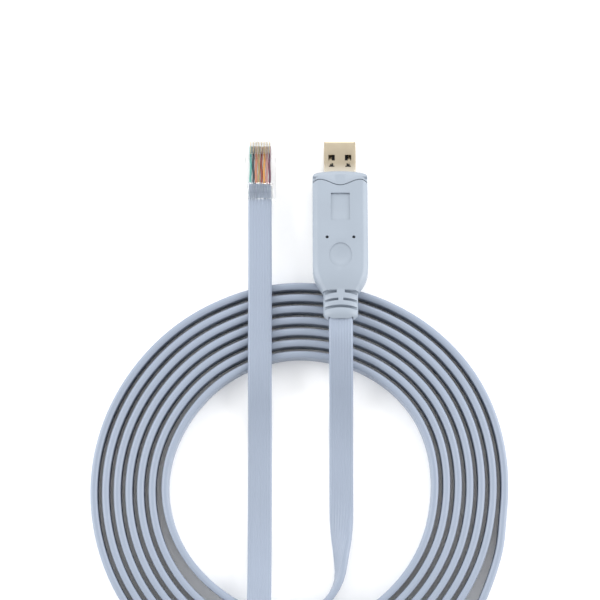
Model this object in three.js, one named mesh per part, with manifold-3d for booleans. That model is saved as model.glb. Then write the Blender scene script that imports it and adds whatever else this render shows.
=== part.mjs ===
// Serial console cable: a USB-A plug with a moulded hood, about 3 m of flat eight-core cable wound on
// edge into a round coil, and a clear 8P8C modular plug.
// Millimetres, +Z up, lying on the plane z = 0. The origin is under the middle of the two plugs.
import * as THREE from "three";
import { mergeVertices } from "three/addons/utils/BufferGeometryUtils.js";
import Module from "manifold-3d";

// ---- Driving dimensions ----

// Flat cable
const CABLE_WIDTH = 8.8;
const CABLE_THICKNESS = 2.6;

// Coil: the cable stands on edge in evenly spaced round turns
const TURNS = 7;
const COIL_INNER_RADIUS = 48.6;
const TURN_SPACE = 1.67;
const TURN_GROOVE_DEPTH = 3.2;
const COIL_SEGMENTS = 64;

// USB shell, standard A size
const SHELL_WIDTH = 12;
const SHELL_HEIGHT = 4.5;
const SHELL_WALL = 0.32;
const SHELL_CORNER = 0.7;
const SHELL_LENGTH = 12.4;
const SHELL_ROOT = 5;
const SHELL_WINDOW = 2.4;
const SHELL_WINDOW_FROM_TIP = 5.6;
const SHELL_WINDOW_PITCH = 6.2;
const LATCH_SLOT_WIDTH = 1.2;
const LATCH_SLOT_LENGTH = 1.5;
const LATCH_BRIM_WIDTH = 2.1;
const LATCH_BRIM_LENGTH = 0.5;
const LATCH_SLOT_FROM_TIP = 9.1;

// Insulator and contacts inside the shell
const TONGUE_THICKNESS = 1.84;
const TONGUE_FROM_TIP = 0.6;
const CONTACT_WIDTH = 1;
const CONTACT_THICKNESS = 0.15;
const CONTACT_PITCH_INNER = 2;
const CONTACT_PITCH_OUTER = 7;
const CONTACT_LENGTH_INNER = 6.4;
const CONTACT_LENGTH_OUTER = 7.4;
const CONTACT_FROM_TONGUE_TIP = 0.5;

// Moulded hood and its strain relief
const HOOD_WIDTH = 20.6;
const HOOD_THICKNESS = 9.2;
const HOOD_LENGTH = 48.2;
const HOOD_EDGE_RADIUS = 2.6;
const HOOD_CORNER = 2.6;
const HOOD_FRONT_ARCH = 1.3;
const HOOD_SHOULDER = 9.5;
const RELIEF_LENGTH = 11;
const RELIEF_WIDTH = 12.9;
const RELIEF_THICKNESS = 6.4;
const RELIEF_TIP_WIDTH = 9.6;
const RELIEF_TIP_THICKNESS = 3.8;
const RELIEF_TIP_LENGTH = 2;
const RELIEF_EDGE_RADIUS = 1.4;
const RELIEF_SLOT_DEPTH = 1.1;
const RELIEF_SLOT_SIDE = 0.8;
const RELIEF_SLOTS = [
  { fromHood: 0.1, length: 1.2, bridge: 2.9 },
  { fromHood: 3.35, length: 1, bridge: 1.8 },
  { fromHood: 6.1, length: 1.15, bridge: 0 },
];
const WAVE_WIDTH = 0.35;
const WAVE_DEPTH = 0.35;
const WAVE_FROM_FRONT = 4.3;
const WAVE_HEIGHT = 2.4;
const PLATE_WIDTH = 7.2;
const PLATE_LENGTH = 11;
const PLATE_FROM_FRONT = 9.9;
const PLATE_DEPTH = 0.35;
const LAMP_HOLE_DIAMETER = 1.2;
const LAMP_HOLE_DEPTH = 1.6;
const LAMP_HOLE_PITCH = 9.9;
const LAMP_HOLE_FROM_FRONT = 27.8;
const THUMB_DISH_WIDTH = 8.6;
const THUMB_DISH_LENGTH = 9.6;
const THUMB_DISH_DEPTH = 0.35;
const THUMB_DISH_FROM_FRONT = 34.9;

// Clear modular plug, 8P8C
const PLUG_WIDTH = 11.7;
const PLUG_LENGTH = 23.1;
const PLUG_HEIGHT = 6.6;
const PLUG_STEP = 0.35;
const PLUG_STEP_LENGTH = 7;
const CAVITY_LENGTH = 6.6;
const CAVITY_FLOOR = 1.8;
const BLADE_COUNT = 8;
const BLADE_PITCH = 1.02;
const BLADE_THICKNESS = 0.34;
const BLADE_LENGTH = 4.6;
const BLADE_FROM_NOSE = 0.5;
const BLADE_BELOW_TOP = 0.4;
const BLADE_SLOT_LENGTH = 6.2;
const WIRE_DIAMETER = 0.88;
const WIRE_WAVE = 0.16;
const WIRE_CHANNEL_FROM_NOSE = 1.4;
const BAR_WINDOW_WIDTH = 8.6;
const BAR_WINDOW_LENGTH = 2.2;
const BAR_WINDOW_FROM_REAR = 15.5;
const BAR_WINDOW_DEPTH = 0.9;
const WEDGE_WINDOW_LENGTH = 3.6;
const WEDGE_WINDOW_FROM_REAR = 2.4;
const WEDGE_WINDOW_DEPTH = 0.9;
const LATCH_WIDTH = 6;
const LATCH_TIP_WIDTH = 4;
const LATCH_THICKNESS = 0.9;
const LATCH_DROP = 2.4;
const LATCH_LENGTH = 16;
const LATCH_TIP_LENGTH = 6.5;

// Places of the plugs, in the coil's frame: X to the right, Y away from the coil's centre
const USB_X = 15.5;
const USB_FRONT_Y = 119.4;
const RJ45_X = -14.5;
const RJ45_REAR_Y = 108.4;

// Clearances
const FIT = 0.3;
const BLADE_FIT = 0.09;
const CONTACT_FIT = 0.05;
const SEAT_FIT = 0.3;

// ---- Worked-out sizes ----

const TURN_PITCH = CABLE_THICKNESS + TURN_SPACE;
const COIL_OUTER_RADIUS = COIL_INNER_RADIUS + (TURNS - 1) * TURN_PITCH + CABLE_THICKNESS;
const HOOD_REAR = -HOOD_LENGTH;
const RELIEF_REAR = HOOD_REAR - RELIEF_LENGTH;
const CAVITY_WIDTH = CABLE_WIDTH + 2 * FIT;
const CAVITY_HEIGHT = CABLE_THICKNESS + 2 * FIT;
const CAVITY_MID = CAVITY_FLOOR + CAVITY_HEIGHT / 2;

// The hood leans on the coil: its nose is on the ground, its underside on the outermost turn.
function hoodPitch() {
  const reach = USB_FRONT_Y - COIL_OUTER_RADIUS;
  const rise = CABLE_WIDTH + SEAT_FIT;
  const sink = (HOOD_THICKNESS - SHELL_HEIGHT) / 2;
  let low = 0;
  let high = 0.6;
  for (let i = 0; i < 40; i += 1) {
    const angle = (low + high) / 2;
    const nose = Math.max(SHELL_LENGTH * Math.sin(angle) - sink * Math.cos(angle), 0);
    if (nose + reach * Math.tan(angle) < rise) low = angle;
    else high = angle;
  }
  return (low + high) / 2;
}
const USB_PITCH = hoodPitch();

// The modular plug lies on its latch, on the root of the lever and on its end.
const LATCH_END = PLUG_LENGTH - LATCH_LENGTH;
const LATCH_ROOT = PLUG_LENGTH - 2.6;
const LATCH_ROOT_DROP = LATCH_THICKNESS + 0.35;
const RJ45_PITCH = Math.atan((LATCH_DROP - LATCH_ROOT_DROP) / (LATCH_ROOT - LATCH_END));

// ---- Materials ----

const paint = (colour, roughness, metalness = 0) =>
  new THREE.MeshStandardMaterial({ color: colour, roughness, metalness });
const jacketPvc = paint(0x7f8fa9, 0.5);
const hoodPvc = paint(0x9db4d2, 0.45);
const goldPlate = paint(0xc9b06a, 0.3, 1);
const blackPbt = paint(0x1c1c1e, 0.5);
const clearPolycarbonate = new THREE.MeshStandardMaterial({
  color: 0xe9eef0,
  roughness: 0.08,
  metalness: 0,
  transparent: true,
  opacity: 0.4,
});
const CORE_COLOURS = [0x2f8f86, 0x1f2a3a, 0xb46a55, 0xa8803c, 0x8a3524, 0xd98a2e, 0xb9687c, 0x6b2a46];

// ---- Solids ----

const wasm = await Module();
wasm.setup();

// A closed geometry as a solid that can be joined and cut.
function solid(geometry) {
  const plain = geometry.clone();
  plain.deleteAttribute("normal");
  plain.deleteAttribute("uv");
  const merged = mergeVertices(plain, 1e-4);
  const mesh = new wasm.Mesh({
    numProp: 3,
    vertProperties: new Float32Array(merged.attributes.position.array),
    triVerts: new Uint32Array(merged.index.array),
  });
  return new wasm.Manifold(mesh);
}

// A solid as a named mesh.
function piece(name, shape, material) {
  const mesh = shape.getMesh();
  const geometry = new THREE.BufferGeometry();
  geometry.setAttribute("position", new THREE.BufferAttribute(mesh.vertProperties, 3));
  geometry.setIndex(new THREE.BufferAttribute(mesh.triVerts, 1));
  geometry.computeVertexNormals();
  const made = new THREE.Mesh(geometry, material);
  made.name = name;
  return made;
}

// A box from its middle in X, its ends in Y and its levels in Z.
function block(midX, width, y0, y1, z0, z1) {
  const box = new THREE.BoxGeometry(width, y1 - y0, z1 - z0);
  box.translate(midX, (y0 + y1) / 2, (z0 + z1) / 2);
  return solid(box);
}

// A shape drawn in X and Z, drawn out along Y from y0 to y1 and raised by level.
function alongY(shape, y0, y1, curveSegments = 4, level = 0) {
  const geometry = new THREE.ExtrudeGeometry(shape, {
    depth: y1 - y0,
    bevelEnabled: false,
    curveSegments,
  });
  geometry.rotateX(Math.PI / 2);
  geometry.translate(0, y1, level);
  return solid(geometry);
}

// A shape drawn in X and Y, drawn out in Z.
function alongZ(shape, z0, z1, curveSegments = 6) {
  const geometry = new THREE.ExtrudeGeometry(shape, {
    depth: z1 - z0,
    bevelEnabled: false,
    curveSegments,
  });
  geometry.translate(0, 0, z0);
  return solid(geometry);
}

// A shape drawn in Y and Z, drawn out across X, centred.
function acrossX(shape, width, curveSegments = 6) {
  const geometry = new THREE.ExtrudeGeometry(shape, {
    depth: width,
    bevelEnabled: false,
    curveSegments,
  });
  geometry.translate(0, 0, -width / 2);
  geometry.rotateY(Math.PI / 2);
  geometry.rotateX(Math.PI / 2);
  return solid(geometry);
}

// A rectangle with round corners, centred.
function roundRectangle(width, height, radius) {
  const x = width / 2;
  const y = height / 2;
  const shape = new THREE.Shape();
  shape.moveTo(-x + radius, -y);
  shape.lineTo(x - radius, -y);
  shape.absarc(x - radius, -y + radius, radius, -Math.PI / 2, 0);
  shape.lineTo(x, y - radius);
  shape.absarc(x - radius, y - radius, radius, 0, Math.PI / 2);
  shape.lineTo(-x + radius, y);
  shape.absarc(-x + radius, y - radius, radius, Math.PI / 2, Math.PI);
  shape.lineTo(-x, -y + radius);
  shape.absarc(-x + radius, -y + radius, radius, Math.PI, 1.5 * Math.PI);
  return shape;
}

// ---- Cable ----

// The coil's outer form: one ring, grooved between the turns on both of its ends.
function coilRing() {
  const profile = [];
  const end = (level, depth, outward) => {
    const points = [];
    for (let turn = 0; turn < TURNS; turn += 1) {
      const inner = COIL_INNER_RADIUS + turn * TURN_PITCH;
      points.push(new THREE.Vector2(inner, level));
      points.push(new THREE.Vector2(inner + CABLE_THICKNESS, level));
      if (turn < TURNS - 1) {
        const groove = inner + CABLE_THICKNESS + TURN_SPACE / 2;
        points.push(new THREE.Vector2(groove, level - depth));
      }
    }
    return outward ? points : points.reverse();
  };
  profile.push(...end(0, -TURN_GROOVE_DEPTH, true));
  profile.push(...end(CABLE_WIDTH, TURN_GROOVE_DEPTH, false));
  profile.push(profile[0].clone());
  const ring = new THREE.LatheGeometry(profile, COIL_SEGMENTS);
  ring.rotateX(Math.PI / 2);
  return solid(ring);
}

// The line of a free stretch of the cable. Each point is X, Y, Z and the roll of the flat section in
// degrees, 0 lying flat and 90 standing on edge.
class CableLine extends THREE.CatmullRomCurve3 {
  constructor(points) {
    super(points.map(([x, y, z]) => new THREE.Vector3(x, y, z)));
    this.rolls = points.map((point) => point[3]);
    this.arcLengthDivisions = 600;
  }

  rollAt(u) {
    const place = this.getUtoTmapping(u) * (this.rolls.length - 1);
    const index = Math.min(Math.floor(place), this.rolls.length - 2);
    const share = place - index;
    const eased = share * share * (3 - 2 * share);
    return this.rolls[index] + (this.rolls[index + 1] - this.rolls[index]) * eased;
  }

  // The section's X axis is its width and its Y axis its thickness, turned by the roll.
  computeFrenetFrames(segments) {
    const tangents = [];
    const normals = [];
    const binormals = [];
    for (let i = 0; i <= segments; i += 1) {
      const tangent = this.getTangentAt(i / segments);
      const across = new THREE.Vector3().crossVectors(tangent, new THREE.Vector3(0, 0, 1)).normalize();
      across.applyAxisAngle(tangent, THREE.MathUtils.degToRad(this.rollAt(i / segments)));
      tangents.push(tangent);
      normals.push(across);
      binormals.push(new THREE.Vector3().crossVectors(tangent, across));
    }
    return { tangents, normals, binormals };
  }
}

// A flat section with cut corners, eight sides.
function cableSection() {
  const x = CABLE_WIDTH / 2;
  const y = CABLE_THICKNESS / 2;
  const cut = CABLE_THICKNESS * 0.3;
  return new THREE.Shape([
    new THREE.Vector2(-x + cut, -y),
    new THREE.Vector2(x - cut, -y),
    new THREE.Vector2(x, -y + cut),
    new THREE.Vector2(x, y - cut),
    new THREE.Vector2(x - cut, y),
    new THREE.Vector2(-x + cut, y),
    new THREE.Vector2(-x, y - cut),
    new THREE.Vector2(-x, -y + cut),
  ]);
}

function cableStretch(points, steps) {
  return solid(
    new THREE.ExtrudeGeometry(cableSection(), {
      steps,
      bevelEnabled: false,
      extrudePath: new CableLine(points),
    }),
  );
}

// A point in a plug's own frame, Y along the plug, as a point in the coil's frame.
function inPlug(place, pitch, y, z) {
  return [
    place.x,
    place.y + y * Math.cos(pitch) + z * Math.sin(pitch),
    place.z - y * Math.sin(pitch) + z * Math.cos(pitch),
  ];
}

const usbPlace = new THREE.Vector3(
  USB_X,
  USB_FRONT_Y,
  Math.max(
    (HOOD_THICKNESS / 2) * Math.cos(USB_PITCH),
    (SHELL_HEIGHT / 2) * Math.cos(USB_PITCH) + SHELL_LENGTH * Math.sin(USB_PITCH),
  ),
);
const rj45Place = new THREE.Vector3(
  RJ45_X,
  RJ45_REAR_Y,
  LATCH_END * Math.sin(RJ45_PITCH) + LATCH_DROP * Math.cos(RJ45_PITCH),
);

// Level of the cable's middle when it lies on the ground with a roll in degrees.
function onGround(roll) {
  const angle = THREE.MathUtils.degToRad(roll);
  const rise = (CABLE_WIDTH / 2) * Math.sin(angle) + (CABLE_THICKNESS / 2) * Math.cos(angle);
  return rise + 0.1;
}
const FLAT_LEVEL = onGround(0);
const EDGE_LEVEL = onGround(90);
const OVER_COIL = CABLE_WIDTH + CABLE_THICKNESS / 2 + FIT;

// From the strain relief, over the coil, along the ground and round to the innermost turn.
const usbEndPoints = [
  [...inPlug(usbPlace, USB_PITCH, RELIEF_REAR - FIT, 0), 0],
  [...inPlug(usbPlace, USB_PITCH, RELIEF_REAR - 6, 0), 0],
  [15.55, 50, 16.4, 0],
  [15.65, 42, 12.8, 0],
  [15.75, 34, 8, 0],
  [15.75, 26, 4.2, 0],
  [15.75, 18, 2, 0],
  [15.75, 9, FLAT_LEVEL, 0],
  [15.75, 0, FLAT_LEVEL, 0],
  [15.75, -8, onGround(10), 10],
  [15.75, -16, onGround(34), 34],
  [15.6, -24, onGround(62), 62],
  [14.7, -33, onGround(82), 82],
  [10.6, -40.3, EDGE_LEVEL, 90],
  [3.7, -45.4, EDGE_LEVEL, 90],
  [-5.1, -46.65, EDGE_LEVEL, 90],
  [-14.1, -45, EDGE_LEVEL, 90],
  [-22.25, -41.55, EDGE_LEVEL, 90],
];

// From the outermost turn, up and over the coil's lower side, along the ground, over its upper side and
// into the modular plug.
const rj45EndPoints = [
  [64.25, -45.25, EDGE_LEVEL, -90],
  [55.7, -55.5, EDGE_LEVEL, -90],
  [45.2, -64.3, 4.9, -86],
  [34.4, -71.3, 6.4, -76],
  [23.9, -75.5, 8.75, -60],
  [13.5, -76.9, 11, -38],
  [3.6, -74.6, 11.7, -18],
  [-5.4, -68.6, 11, -6],
  [-10.9, -59.5, OVER_COIL + 0.1, 0],
  [-13.8, -50.5, OVER_COIL, 0],
  [-14.3, -42.5, OVER_COIL - 0.1, 0],
  [-14.3, -34.5, 8, 0],
  [-14.3, -26.5, 4.9, 0],
  [-14.3, -18.5, 2.5, 0],
  [-14.3, -10, FLAT_LEVEL, 0],
  [-14.3, 0, FLAT_LEVEL, 0],
  [-14.3, 10, FLAT_LEVEL, 0],
  [-14.3, 19, 2.2, 0],
  [-14.3, 28, 4.6, 0],
  [-14.3, 37, 8.2, 0],
  [-14.3, 46, OVER_COIL, 0],
  [-14.3, 56, OVER_COIL + 0.2, 0],
  [-14.3, 67, OVER_COIL, 0],
  [-14.35, 79, OVER_COIL - 0.1, 0],
  [-14.4, 90, 8.8, 0],
  [...inPlug(rj45Place, RJ45_PITCH, -7, CAVITY_MID), 0],
  [...inPlug(rj45Place, RJ45_PITCH, 0, CAVITY_MID), 0],
  [...inPlug(rj45Place, RJ45_PITCH, CAVITY_LENGTH - FIT, CAVITY_MID), 0],
];

// ---- USB plug ----
// Its own frame: Y points to the tip, the hood's front is at y = 0, and z = 0 is its middle plane.

function shellSolid() {
  const outline = roundRectangle(SHELL_WIDTH, SHELL_HEIGHT, SHELL_CORNER);
  outline.holes.push(
    roundRectangle(
      SHELL_WIDTH - 2 * SHELL_WALL,
      SHELL_HEIGHT - 2 * SHELL_WALL,
      SHELL_CORNER - SHELL_WALL,
    ),
  );
  let shell = alongY(outline, -SHELL_ROOT, SHELL_LENGTH, 3);
  const through = SHELL_HEIGHT;
  for (const side of [-1, 1]) {
    const x = (side * SHELL_WINDOW_PITCH) / 2;
    const windowEnd = SHELL_LENGTH - SHELL_WINDOW_FROM_TIP;
    const slotEnd = SHELL_LENGTH - LATCH_SLOT_FROM_TIP;
    const slotRoot = slotEnd - LATCH_SLOT_LENGTH;
    const brimEnd = slotRoot + LATCH_BRIM_LENGTH;
    shell = shell.subtract(block(x, SHELL_WINDOW, windowEnd - SHELL_WINDOW, windowEnd, -through, through));
    shell = shell.subtract(block(x, LATCH_SLOT_WIDTH, slotRoot, slotEnd, 0, through));
    shell = shell.subtract(block(x, LATCH_BRIM_WIDTH, slotRoot, brimEnd, 0, through));
  }
  return shell;
}

const INSIDE_WIDTH = SHELL_WIDTH - 2 * SHELL_WALL - 2 * CONTACT_FIT;
const INSIDE_HALF = SHELL_HEIGHT / 2 - SHELL_WALL - CONTACT_FIT;
const TONGUE_TOP = -INSIDE_HALF + TONGUE_THICKNESS;
const TONGUE_TIP = SHELL_LENGTH - TONGUE_FROM_TIP;

// A thick root that fills the shell, with the thin tongue standing out of it.
function tongueSolid() {
  const root = roundRectangle(INSIDE_WIDTH, 2 * INSIDE_HALF, SHELL_CORNER - SHELL_WALL);
  const back = alongY(root, -SHELL_ROOT + FIT, SHELL_LENGTH - SHELL_WIDTH + 1.5, 2);
  const tongue = block(
    0,
    INSIDE_WIDTH - 0.4,
    -SHELL_ROOT + 2 * FIT,
    TONGUE_TIP,
    -INSIDE_HALF,
    TONGUE_TOP,
  );
  return back.add(tongue);
}

function contactSolid(index) {
  const outer = index === 0 || index === 3;
  const pitch = outer ? CONTACT_PITCH_OUTER : CONTACT_PITCH_INNER;
  const x = (index < 2 ? -pitch : pitch) / 2;
  const length = outer ? CONTACT_LENGTH_OUTER : CONTACT_LENGTH_INNER;
  const tip = TONGUE_TIP - CONTACT_FROM_TONGUE_TIP - (outer ? 0 : 1);
  const low = TONGUE_TOP + CONTACT_FIT;
  return block(x, CONTACT_WIDTH, tip - length, tip, low, low + CONTACT_THICKNESS);
}

// The hood seen from above, with its arched front and its shoulders running in to the strain relief.
function hoodOutline() {
  const w = HOOD_WIDTH / 2;
  const r = RELIEF_WIDTH / 2;
  const edge = -HOOD_FRONT_ARCH;
  const shape = new THREE.Shape();
  shape.moveTo(-r, HOOD_REAR);
  shape.lineTo(r, HOOD_REAR);
  shape.bezierCurveTo(
    r + (w - r) * 0.55,
    HOOD_REAR + HOOD_SHOULDER * 0.3,
    w,
    HOOD_REAR + HOOD_SHOULDER * 0.55,
    w,
    HOOD_REAR + HOOD_SHOULDER,
  );
  shape.lineTo(w, edge - HOOD_CORNER);
  shape.quadraticCurveTo(w, edge, w - HOOD_CORNER, edge + HOOD_FRONT_ARCH * 0.4);
  shape.quadraticCurveTo(w * 0.4, 0, 0, 0);
  shape.quadraticCurveTo(-w * 0.4, 0, -w + HOOD_CORNER, edge + HOOD_FRONT_ARCH * 0.4);
  shape.quadraticCurveTo(-w, edge, -w, edge - HOOD_CORNER);
  shape.lineTo(-w, HOOD_REAR + HOOD_SHOULDER);
  shape.bezierCurveTo(
    -w,
    HOOD_REAR + HOOD_SHOULDER * 0.55,
    -r - (w - r) * 0.55,
    HOOD_REAR + HOOD_SHOULDER * 0.3,
    -r,
    HOOD_REAR,
  );
  return shape;
}

// The hood seen from the side.
function hoodSide() {
  const t = HOOD_THICKNESS / 2;
  const r = RELIEF_THICKNESS / 2;
  const shoulder = HOOD_SHOULDER * 0.65;
  const nose = 1.2;
  const shape = new THREE.Shape();
  shape.moveTo(0, -t + nose * 0.6);
  shape.lineTo(0, t - nose * 0.6);
  shape.quadraticCurveTo(0, t, -nose, t);
  shape.lineTo(HOOD_REAR + shoulder, t);
  shape.quadraticCurveTo(HOOD_REAR + shoulder * 0.4, t, HOOD_REAR, r);
  shape.lineTo(HOOD_REAR, -r);
  shape.quadraticCurveTo(HOOD_REAR + shoulder * 0.4, -t, HOOD_REAR + shoulder, -t);
  shape.lineTo(-nose, -t);
  shape.quadraticCurveTo(0, -t, 0, -t + nose * 0.6);
  return shape;
}

// A wavy strip across the hood, low in the middle and raised towards both sides.
function waveStrip() {
  const w = HOOD_WIDTH / 2 + 1;
  const crest = HOOD_WIDTH * 0.374;
  const steps = 24;
  const front = [];
  const back = [];
  for (let i = 0; i <= steps; i += 1) {
    const x = -w + (2 * w * i) / steps;
    const y = -WAVE_FROM_FRONT + (WAVE_HEIGHT * (1 - Math.cos((Math.PI * x) / crest))) / 2 - WAVE_HEIGHT;
    front.push(new THREE.Vector2(x, y + WAVE_WIDTH / 2));
    back.push(new THREE.Vector2(x, y - WAVE_WIDTH / 2));
  }
  return new THREE.Shape([...back, ...front.reverse()]);
}

function hoodSolid() {
  const top = HOOD_THICKNESS / 2;
  const far = 1;
  let body = alongZ(hoodOutline(), -top - far, top + far, 5)
    .intersect(acrossX(hoodSide(), HOOD_WIDTH + 2 * far, 4))
    .intersect(
      alongY(roundRectangle(HOOD_WIDTH, HOOD_THICKNESS, HOOD_EDGE_RADIUS), HOOD_REAR - far, far, 4),
    );

  // Strain relief: a straight slotted stretch and a tip that runs in to the cable.
  const tipFront = RELIEF_REAR + RELIEF_TIP_LENGTH;
  const plan = new THREE.Shape([
    new THREE.Vector2(-RELIEF_TIP_WIDTH / 2, RELIEF_REAR),
    new THREE.Vector2(RELIEF_TIP_WIDTH / 2, RELIEF_REAR),
    new THREE.Vector2(RELIEF_WIDTH / 2 - 0.5, tipFront),
    new THREE.Vector2(RELIEF_WIDTH / 2, HOOD_REAR + 1),
    new THREE.Vector2(-RELIEF_WIDTH / 2, HOOD_REAR + 1),
    new THREE.Vector2(-RELIEF_WIDTH / 2 + 0.5, tipFront),
  ]);
  const side = new THREE.Shape([
    new THREE.Vector2(RELIEF_REAR, -RELIEF_TIP_THICKNESS / 2),
    new THREE.Vector2(tipFront, -RELIEF_THICKNESS / 2 + 0.3),
    new THREE.Vector2(HOOD_REAR + 1, -RELIEF_THICKNESS / 2),
    new THREE.Vector2(HOOD_REAR + 1, RELIEF_THICKNESS / 2),
    new THREE.Vector2(tipFront, RELIEF_THICKNESS / 2 - 0.3),
    new THREE.Vector2(RELIEF_REAR, RELIEF_TIP_THICKNESS / 2),
  ]);
  const relief = alongZ(plan, -top, top)
    .intersect(acrossX(side, RELIEF_WIDTH + far))
    .intersect(
      alongY(
        roundRectangle(RELIEF_WIDTH, RELIEF_THICKNESS, RELIEF_EDGE_RADIUS),
        RELIEF_REAR - far,
        HOOD_REAR + 2 * far,
        3,
      ),
    );
  body = body.add(relief);

  // Slots of the strain relief, above and below, each pair parted by a bridge.
  for (const slot of RELIEF_SLOTS) {
    const y1 = HOOD_REAR - slot.fromHood;
    const y0 = y1 - slot.length;
    const outer = RELIEF_WIDTH / 2 - RELIEF_SLOT_SIDE;
    const inner = slot.bridge / 2;
    for (const face of [-1, 1]) {
      const near = face * (RELIEF_THICKNESS / 2 - RELIEF_SLOT_DEPTH);
      const z0 = Math.min(near, face * top);
      const z1 = Math.max(near, face * top);
      if (slot.bridge > 0) {
        body = body.subtract(block((inner + outer) / 2, outer - inner, y0, y1, z0, z1));
        body = body.subtract(block(-(inner + outer) / 2, outer - inner, y0, y1, z0, z1));
      } else {
        body = body.subtract(block(0, 2 * outer, y0, y1, z0, z1));
      }
    }
  }

  // Wavy line, bare recessed plate, lamp holes and thumb dish.
  body = body.subtract(alongZ(waveStrip(), top - WAVE_DEPTH, top + far));
  body = body.subtract(alongZ(waveStrip(), -top - far, -top + WAVE_DEPTH));
  const plateFront = -PLATE_FROM_FRONT;
  body = body.subtract(
    block(0, PLATE_WIDTH, plateFront - PLATE_LENGTH, plateFront, top - PLATE_DEPTH, top + far),
  );
  for (const side of [-1, 1]) {
    const hole = new THREE.CylinderGeometry(
      LAMP_HOLE_DIAMETER / 2,
      LAMP_HOLE_DIAMETER / 2,
      LAMP_HOLE_DEPTH + far,
      12,
    );
    hole.rotateX(Math.PI / 2);
    hole.translate(
      (side * LAMP_HOLE_PITCH) / 2,
      -LAMP_HOLE_FROM_FRONT,
      top + (far - LAMP_HOLE_DEPTH) / 2,
    );
    body = body.subtract(solid(hole));
  }
  const dishRadius = 6;
  const dish = new THREE.SphereGeometry(dishRadius, 24, 12);
  const reach = Math.sqrt(dishRadius ** 2 - (dishRadius - THUMB_DISH_DEPTH) ** 2);
  dish.rotateX(Math.PI / 2);
  dish.scale(THUMB_DISH_WIDTH / 2 / reach, THUMB_DISH_LENGTH / 2 / reach, 1);
  dish.translate(0, -THUMB_DISH_FROM_FRONT, top + dishRadius - THUMB_DISH_DEPTH);
  body = body.subtract(solid(dish));

  // Pocket for the shell.
  const pocket = roundRectangle(SHELL_WIDTH + 2 * FIT, SHELL_HEIGHT + 2 * FIT, SHELL_CORNER + FIT);
  return body.subtract(alongY(pocket, -SHELL_ROOT - FIT, far, 3));
}

// ---- Modular plug ----
// Its own frame: Y points to the nose, the rear is at y = 0, and z = 0 is the body's underside.

const bladeX = (index) => (index - (BLADE_COUNT - 1) / 2) * BLADE_PITCH;
const BLADE_TOP = PLUG_HEIGHT - BLADE_BELOW_TOP;
const WIRE_LEVEL = CAVITY_MID;
const BLADE_LOW = WIRE_LEVEL + WIRE_DIAMETER / 2 + BLADE_FIT;
const BLADE_Y1 = PLUG_LENGTH - BLADE_FROM_NOSE;
const BLADE_Y0 = BLADE_Y1 - BLADE_LENGTH;
const WIRE_Y0 = CAVITY_LENGTH;
const WIRE_Y1 = PLUG_LENGTH - WIRE_CHANNEL_FROM_NOSE - FIT;

function plugSolid() {
  let body = block(0, PLUG_WIDTH, 0, PLUG_LENGTH, 0, PLUG_HEIGHT);
  for (const side of [-1, 1]) {
    body = body.subtract(
      block(
        (side * PLUG_WIDTH) / 2,
        2 * PLUG_STEP,
        PLUG_LENGTH - PLUG_STEP_LENGTH,
        PLUG_LENGTH + 1,
        -1,
        PLUG_HEIGHT + 1,
      ),
    );
  }

  // Rear cavity for the jacket, and the channel for the eight cores.
  const mouth = roundRectangle(CAVITY_WIDTH, CAVITY_HEIGHT, 0.5);
  body = body.subtract(alongY(mouth, -1, CAVITY_LENGTH, 2, CAVITY_MID));
  const channelWidth = (BLADE_COUNT - 1) * BLADE_PITCH + WIRE_DIAMETER + 2 * WIRE_WAVE + 2 * BLADE_FIT;
  const channelHalf = WIRE_DIAMETER / 2 + BLADE_FIT;
  body = body.subtract(
    block(
      0,
      channelWidth,
      CAVITY_LENGTH - 0.5,
      PLUG_LENGTH - WIRE_CHANNEL_FROM_NOSE,
      WIRE_LEVEL - channelHalf,
      WIRE_LEVEL + channelHalf,
    ),
  );

  // Slots for the blades, open at the top and the nose and down to the cores.
  for (let i = 0; i < BLADE_COUNT; i += 1) {
    body = body.subtract(
      block(
        bladeX(i),
        BLADE_THICKNESS + 2 * BLADE_FIT,
        PLUG_LENGTH - BLADE_SLOT_LENGTH,
        PLUG_LENGTH + 1,
        WIRE_LEVEL,
        PLUG_HEIGHT + 1,
      ),
    );
  }

  // Recesses of the bar that holds the cores and of the wedge that holds the jacket.
  body = body.subtract(
    block(
      0,
      BAR_WINDOW_WIDTH,
      BAR_WINDOW_FROM_REAR,
      BAR_WINDOW_FROM_REAR + BAR_WINDOW_LENGTH,
      PLUG_HEIGHT - BAR_WINDOW_DEPTH,
      PLUG_HEIGHT + 1,
    ),
  );
  body = body.subtract(
    block(
      0,
      BAR_WINDOW_WIDTH,
      WEDGE_WINDOW_FROM_REAR,
      WEDGE_WINDOW_FROM_REAR + WEDGE_WINDOW_LENGTH,
      PLUG_HEIGHT - WEDGE_WINDOW_DEPTH,
      PLUG_HEIGHT + 1,
    ),
  );

  // Latch: a lever that springs from the nose and hangs below the body.
  const root = PLUG_LENGTH - 0.6;
  const drop = -LATCH_DROP;
  const middle = LATCH_END + LATCH_TIP_LENGTH;
  const sink = 0.2;
  const lever = new THREE.Shape([
    new THREE.Vector2(root, sink),
    new THREE.Vector2(root - 0.3, -LATCH_THICKNESS * 0.7),
    new THREE.Vector2(LATCH_ROOT, -LATCH_ROOT_DROP),
    new THREE.Vector2(LATCH_END, drop),
    new THREE.Vector2(LATCH_END, drop + LATCH_THICKNESS),
    new THREE.Vector2(root - 2.2, -0.4),
    new THREE.Vector2(root - 2.4, sink),
  ]);
  const wide = block(0, LATCH_WIDTH, middle, PLUG_LENGTH, drop - 1, 1);
  const narrow = block(0, LATCH_TIP_WIDTH, LATCH_END - 1, middle + 0.01, drop - 1, 1);
  return body.add(acrossX(lever, LATCH_WIDTH + 1).intersect(wide.add(narrow)));
}

function bladeSolid(index) {
  return block(bladeX(index), BLADE_THICKNESS, BLADE_Y0, BLADE_Y1, BLADE_LOW, BLADE_TOP);
}

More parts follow.
